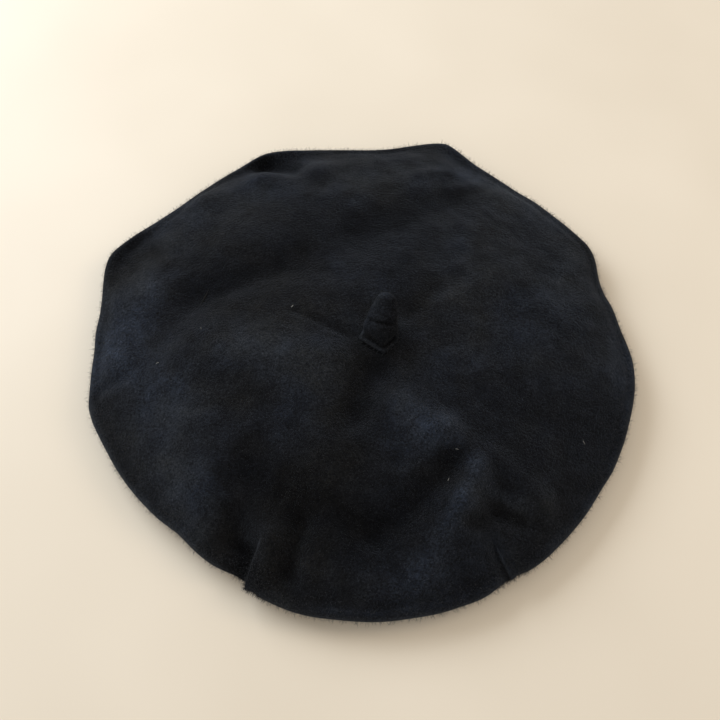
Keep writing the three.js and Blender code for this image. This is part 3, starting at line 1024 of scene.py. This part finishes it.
def label():
    """A blank folded strip that hangs from its sewn top edge, curled a little by wear."""
    low, high = LABEL_LOW, LABEL_HIGH
    width = high[0] - low[0]
    hang = high[2] - low[2]
    middle_y = 0.5 * (low[1] + high[1])
    half_gap, layer = 0.24, 0.26
    across = np.linspace(-0.5, 0.5, 41)
    down = np.linspace(0, 1, 17)[:-1]
    fold = np.linspace(0, math.pi, 9)
    centre_line = [(half_gap * mix(0.8, 1.0, t), -t * (hang - half_gap)) for t in down]
    fold_z = -(hang - half_gap - layer)
    centre_line += [(half_gap * math.cos(a), fold_z - half_gap * math.sin(a)) for a in fold]
    centre_line += [(-half_gap * mix(0.8, 1.0, t), -t * (hang - half_gap)) for t in down[::-1]]
    centre_line = np.array(centre_line)
    tangent = np.gradient(centre_line, axis=0)
    tangent /= np.linalg.norm(tangent, axis=1)[:, None]
    normal = np.stack([-tangent[:, 1], tangent[:, 0]], axis=1)
    loop = np.concatenate([centre_line + 0.5 * layer * normal, (centre_line - 0.5 * layer * normal)[::-1]])
    rings = []
    for u in across:
        sway = -0.35 * (2 * u) ** 2 * (loop[:, 1] / hang) + 0.12 * math.sin(9 * u) * loop[:, 1] / hang
        selvedge = 1 - 0.25 * (abs(u) > 0.485)
        y = middle_y + loop[:, 0] * selvedge + sway
        rings.append(np.stack([np.full(len(loop), u * width), y, high[2] + loop[:, 1]], axis=-1))
    points, faces = capped_grid(np.array(rings))
    piece = outward(new_mesh("blank_size_label", points, faces, label_material()))
    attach(piece, "label")
    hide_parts("size_label")


def label_stitches():
    low, high = LABEL_LOW, LABEL_HIGH
    stitches = []
    count = 14
    inset = 1
    for k in range(count):
        x = mix(low[0] + inset, high[0] - inset, k / (count - 1))
        ribbon_y = math.sqrt((BAND_R - RIBBON - 0.6) ** 2 - x * x)
        back = (x + 0.3, ribbon_y, high[2] + 0.75)
        # the thread ends behind the hinge line, so that the label swings clear of it
        front = (x - 0.3, 0.5 * (low[1] + high[1]) + 0.27, high[2] + 0.16)
        stitches.append(arc_path(back, front, (0, 0, 0.35)))
    stitched("label_whip_stitches", "label_stitches", stitches, 0.17)


label()
label_stitches()


# -------------------- wool fuzz and lint

FIRST_FUZZY_ROW = 3                     # of the shell, clear of the stem's hole
LAST_FUZZY_ROW = CROWN_ROWS + 22        # part of the way in under the hat
FIRST_FUZZY_RING = 14                   # of the stem, on its hem
EDGE_FIBRES = CROWN_FIBRES = 17000
STEM_FIBRES = 900
LINT = (                                # caught in the nap: x, y, length
    (-36.2, 14.4, 2.4), (107.3, -56.1, 2.6), (-102.1, -14.4, 1.4),
    (-82.1, 2.5, 1.4), (44.0, -64.5, 1.6), (40.2, -77.5, 1.4),
)

def fibres(name, roots, normals, lengths, radius, chance, lay=1.0, look=FUZZ_LOOK):
    """Thin bent spikes: each leaves its root along the normal and curls over in a direction of its own."""
    count = len(roots)
    heading = chance.normal(size=(count, 3))
    heading -= normals * np.sum(heading * normals, axis=1, keepdims=True)
    heading /= np.linalg.norm(heading, axis=1, keepdims=True)
    curl = chance.uniform(0.3, 1.2, (count, 1)) * lay
    first = normals + 0.5 * curl * heading
    second = 0.4 * normals + curl * heading
    first /= np.linalg.norm(first, axis=1, keepdims=True)
    second /= np.linalg.norm(second, axis=1, keepdims=True)
    lengths = lengths[:, None]
    base = roots - 0.25 * normals
    knee = base + (0.25 + 0.5 * lengths) * first
    tip = knee + 0.5 * lengths * second
    side = np.cross(first, heading)
    points = []
    for centre, size in ((base, radius), (knee, 0.75 * radius)):
        for k in range(3):
            turn = 2 * math.pi * k / 3
            points.append(centre + size * (math.cos(turn) * side + math.sin(turn) * heading))
    points.append(tip)
    points = np.stack(points, axis=1)
    points = points[points[..., 2].min(axis=1) > 0]  # a fibre that would reach through the table is left out
    one = np.array([(0, 3, 4), (0, 4, 1), (1, 4, 5), (1, 5, 2), (2, 5, 3), (2, 3, 0),
                    (3, 6, 4), (4, 6, 5), (5, 6, 3), (0, 1, 2)])
    faces = (one[None] + 7 * np.arange(len(points))[:, None, None]).reshape(-1, 3)
    return new_mesh(name, points.reshape(-1, 3), faces.tolist(), look)


def felt_fuzz(name, middle_row, spread, count, longest, radius, seed):
    """Loose wool fibres about a row of the shell, thinning out over a spread of rows to both sides."""
    chance = np.random.default_rng(seed)
    columns = SHELL_OUTER.shape[1]
    row = chance.normal(middle_row, spread, 2 * count)
    row = row[(row > FIRST_FUZZY_ROW) & (row < LAST_FUZZY_ROW)][:count]
    count = len(row)
    k = row.astype(int)
    i = chance.integers(0, columns, count)
    jitter = chance.uniform(0, 1, (count, 1))
    here = mix(SHELL_OUTER[k, i], SHELL_OUTER[k, (i + 1) % columns], jitter)
    after = mix(SHELL_OUTER[k + 1, i], SHELL_OUTER[k + 1, (i + 1) % columns], jitter)
    roots = mix(here, after, (row - k)[:, None])
    lengths = np.minimum(longest * (0.12 + chance.gamma(3.0, 0.13, count)), longest)
    piece = fibres(name, roots, SHELL_NORMALS[k, i], lengths, radius, chance)
    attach(piece, "beret")


def stem_fuzz():
    chance = np.random.default_rng(SEED + 12)
    normals = grid_normals(STEM_ROWS)
    outwards = STEM_ROWS - STEM_ROWS.mean(axis=1, keepdims=True)
    finger_ring = 20
    if np.sum(normals[finger_ring] * outwards[finger_ring]) < 0:
        normals = -normals
    k = chance.integers(FIRST_FUZZY_RING, len(STEM_ROWS) - 1, STEM_FIBRES)
    i = chance.integers(0, STEM_COLUMNS, STEM_FIBRES)
    lengths = np.minimum(chance.gamma(3.0, 0.3, STEM_FIBRES) + 0.2, 2.2)
    piece = fibres("stem_fuzz", STEM_ROWS[k, i], normals[k, i], lengths, 0.045, chance)
    return piece


def lint():
    """A few pale fibres caught in the nap."""
    chance = np.random.default_rng(SEED + 14)
    crown = SHELL_OUTER[:CROWN_ROWS].reshape(-1, 3)
    nearest = [np.argmin(np.hypot(crown[:, 0] - x, crown[:, 1] - y)) for x, y, _ in LINT]
    roots = crown[nearest] + np.array([0, 0, 0.35])
    lengths = np.array([length for _, _, length in LINT])
    heading = np.arange(len(LINT)) * 1.3 + 0.9
    flat = np.stack([np.cos(heading), np.sin(heading), np.full(len(LINT), 0.25)], axis=-1)
    flat /= np.linalg.norm(flat, axis=1)[:, None]
    piece = fibres("lint", roots, flat, lengths, 0.14, chance, 0.5, LINT_LOOK)
    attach(piece, "beret")


STEM_FUZZ = stem_fuzz()
lint()
felt_fuzz("edge_fuzz", CROWN_ROWS + 4, 6, EDGE_FIBRES, 3.8, 0.06, SEED + 11)
felt_fuzz("crown_fuzz", 0.5 * CROWN_ROWS, 0.3 * CROWN_ROWS, CROWN_FIBRES, 2.0, 0.05, SEED + 13)
blend_stem(STEM)
blend_stem(STEM_FUZZ)


# -------------------- camera, floor and light

CAMERA_AT = (-0.96, -216.9, 396.6)
CAMERA_TOWARDS = (-0.96, -1.24, 0.0)
LENS = 42.5
TABLE_Z = -0.05                 # the table's top, just clear of the hat
WORLD_COLOUR = (1.0, 0.94, 0.86, 1.0)
WORLD_STRENGTH = 0.60
LIGHTS = (                      # metres and watts: name, place, size, power, colour. Each faces the hat
    ("window", (-0.86, 0.7, 0.7), (1.0, 0.7), 14.2, (0.86, 0.93, 1.0)),
    ("lamp", (1.0, 0.2, 0.8), (0.5, 0.5), 2.5, (1.0, 0.82, 0.62)),
)


def add_camera():
    data = bpy.data.cameras.new("camera")
    data.lens = LENS
    data.sensor_width = 36
    camera = bpy.data.objects.new("camera", data)
    bpy.context.scene.collection.objects.link(camera)
    camera.location = Vector(CAMERA_AT) * MM
    gaze = (Vector(CAMERA_TOWARDS) - Vector(CAMERA_AT)) * MM
    camera.rotation_euler = gaze.to_track_quat("-Z", "Y").to_euler()
    bpy.context.scene.camera = camera


def add_area_light(name, at, size, power, colour):
    data = bpy.data.lights.new(name, "AREA")
    data.shape = "RECTANGLE"
    data.size, data.size_y = size
    data.energy = power
    data.color = colour
    light = bpy.data.objects.new(name, data)
    bpy.context.scene.collection.objects.link(light)
    light.location = at
    light.rotation_euler = (-Vector(at)).to_track_quat("-Z", "Y").to_euler()


def add_floor():
    material, tree, principled = shader("table_laminate", 0.45)
    tone = ramp(tree, noise(tree, coordinates(tree), 160, 2), [
        (0.35, (0.80, 0.72, 0.60)),
        (0.65, (0.84, 0.76, 0.64)),
    ])
    tree.links.new(tone, principled.inputs["Base Color"])
    half = 3000
    corners = [(x * half, y * half, TABLE_Z) for x, y in ((-1, -1), (1, -1), (1, 1), (-1, 1))]
    floor = new_mesh("floor", corners, [(0, 1, 2, 3)], material, False)


def add_world():
    world = bpy.data.worlds.new("studio")
    bpy.context.scene.world = world
    world.use_nodes = True
    background = world.node_tree.nodes["Background"]
    background.inputs["Color"].default_value = WORLD_COLOUR
    background.inputs["Strength"].default_value = WORLD_STRENGTH


bpy.context.scene.view_settings.view_transform = "Standard"
add_camera()
add_floor()
add_world()
for light in LIGHTS:
    add_area_light(*light)
